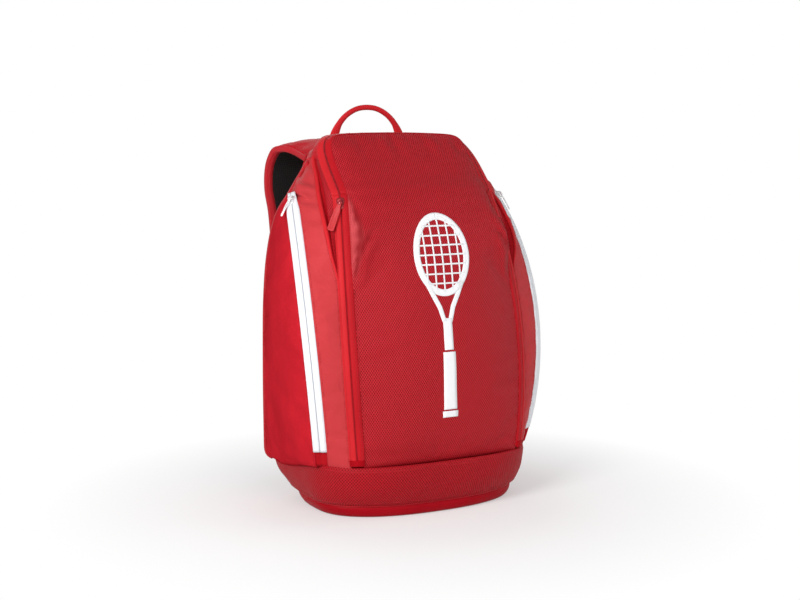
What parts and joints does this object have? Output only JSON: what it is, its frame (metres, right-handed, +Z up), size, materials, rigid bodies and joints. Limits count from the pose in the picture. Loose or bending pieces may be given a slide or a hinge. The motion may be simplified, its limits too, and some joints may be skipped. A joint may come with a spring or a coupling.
{
  "type": "racket backpack",
  "caption": "Upright racket backpack with a full-length zipped front flap, bulging zipped side pockets, a stiffened base, a top carry handle and padded shoulder straps.",
  "frame": {"origin": "on the floor, under the middle of the base, on the plane of symmetry", "axes": "+Z up, -Y towards the front flap, +Y towards the wearer's back, -X towards the wearer's left"},
  "size_m": [0.3584, 0.3064, 0.5268],
  "materials": {
    "smooth_fabric": "smooth coated polyester",
    "textured_fabric": "small embossed diamond weave",
    "lining": "plain lining cloth",
    "zip_tape_red": "coated zip tape",
    "zip_tape_white": "coated zip tape",
    "slider_metal": "satin",
    "cord_white": "braided cord",
    "pull_rubber": "moulded",
    "mesh_black": "spacer mesh",
    "buckle_plastic": "moulded",
    "webbing": "woven webbing"
  },
  "bodies": {
    "shell": {"back_frame_sheet": "buckle_plastic", "back_pad_left": "mesh_black", "back_pad_right": "mesh_black", "back_panel": "smooth_fabric", "base_board": "buckle_plastic", "base_bottom_cover": "smooth_fabric", "base_cuff": "textured_fabric", "base_rim": "smooth_fabric", "handle_tab": "smooth_fabric", "lower_strap_anchor_left": "smooth_fabric", "lower_strap_anchor_right": "smooth_fabric", "lumbar_pad": "mesh_black", "main_zip_tape_shell": "zip_tape_red", "racket_divider": "lining", "rear_binding_left": "smooth_fabric", "rear_binding_right": "smooth_fabric", "shoulder_panel_left": "smooth_fabric", "shoulder_panel_right": "smooth_fabric", "side_front_panel_left": "smooth_fabric", "side_front_panel_right": "smooth_fabric", "side_low_panel_left": "smooth_fabric", "side_low_panel_right": "smooth_fabric", "side_pocket_liner_left": "lining", "side_pocket_liner_right": "lining", "side_rear_panel_left": "smooth_fabric", "side_rear_panel_right": "smooth_fabric", "side_zip_tape_left": "zip_tape_white", "side_zip_tape_right": "zip_tape_white", "strap_yoke": "smooth_fabric", "top_panel": "smooth_fabric", "zip_gusset_left": "textured_fabric", "zip_gusset_right": "textured_fabric"},
    "front_flap": {"front_panel": "textured_fabric", "front_panel_lining": "lining", "main_zip_tape_flap": "zip_tape_red"},
    "main_slider": {"main_slider": "slider_metal"},
    "main_slider_pull": {"main_slider_pull": "pull_rubber"},
    "side_slider_left": {"side_slider_left": "slider_metal"},
    "side_pull_left": {"side_slider_pull_left": "cord_white"},
    "side_slider_right": {"side_slider_right": "slider_metal"},
    "side_pull_right": {"side_slider_pull_right": "cord_white"},
    "carry_handle": {"carry_handle": "smooth_fabric"},
    "strap_left": {"shoulder_strap_left": "smooth_fabric", "strap_mesh_left": "mesh_black", "ladder_lock_left": "buckle_plastic", "lock_keeper_left": "webbing"},
    "strap_right": {"shoulder_strap_right": "smooth_fabric", "strap_mesh_right": "mesh_black", "ladder_lock_right": "buckle_plastic", "lock_keeper_right": "webbing"},
    "webbing_left": {"strap_webbing_left": "webbing"},
    "webbing_right": {"strap_webbing_right": "webbing"}
  },
  "joints": [
    {"name": "front_flap_fold", "type": "hinge", "parent": "shell", "child": "front_flap", "pos_m": [0, -0.112, 0.0695], "axis": [1, 0, 0], "range_deg": [0, 75]},
    {"name": "main_slider_run", "type": "hinge", "parent": "front_flap", "child": "main_slider", "pos_m": [0.19502, 0.48816, 0.12841], "axis": [0.8742, -0.481, 0.0668], "range_deg": [0, 23]},
    {"name": "main_pull_swing", "type": "hinge", "parent": "main_slider", "child": "main_slider_pull", "pos_m": [-0.11606, -0.03844, 0.40041], "axis": [-0.7076, 0.6645, 0.2404], "range_deg": [0, 140]},
    {"name": "side_slider_run_left", "type": "hinge", "parent": "shell", "child": "side_slider_left", "pos_m": [-0.03625, 0.26212, 0.17394], "axis": [0.924, -0.3708, 0.0936], "range_deg": [0, 41]},
    {"name": "side_pull_swing_left", "type": "hinge", "parent": "side_slider_left", "child": "side_pull_left", "pos_m": [-0.1599, 0.0157, 0.40457], "axis": [-0.5149, 0.8187, 0.2542], "range_deg": [0, 140]},
    {"name": "side_slider_run_right", "type": "hinge", "parent": "shell", "child": "side_slider_right", "pos_m": [0.03625, 0.26212, 0.17394], "axis": [0.924, 0.3708, -0.0936], "range_deg": [0, 41]},
    {"name": "side_pull_swing_right", "type": "hinge", "parent": "side_slider_right", "child": "side_pull_right", "pos_m": [0.1599, 0.0157, 0.40457], "axis": [-0.5149, -0.8187, -0.2542], "range_deg": [0, 140]},
    {"name": "carry_handle_swing", "type": "hinge", "parent": "shell", "child": "carry_handle", "pos_m": [0, 0.1084, 0.4805], "axis": [1, 0, 0], "range_deg": [-10, 60]},
    {"name": "strap_fold_left", "type": "hinge", "parent": "shell", "child": "strap_left", "pos_m": [-0.077, 0.122, 0.466], "axis": [1, 0, 0], "range_deg": [0, 28]},
    {"name": "strap_fold_right", "type": "hinge", "parent": "shell", "child": "strap_right", "pos_m": [0.077, 0.122, 0.466], "axis": [1, 0, 0], "range_deg": [0, 28]},
    {"name": "webbing_adjust_left", "type": "slide", "parent": "strap_left", "child": "webbing_left", "axis": [0.2749, 0.1833, 0.9438], "range_m": [0, 0.08]},
    {"name": "webbing_adjust_right", "type": "slide", "parent": "strap_right", "child": "webbing_right", "axis": [-0.2749, 0.1833, 0.9438], "range_m": [0, 0.08]}
  ]
}
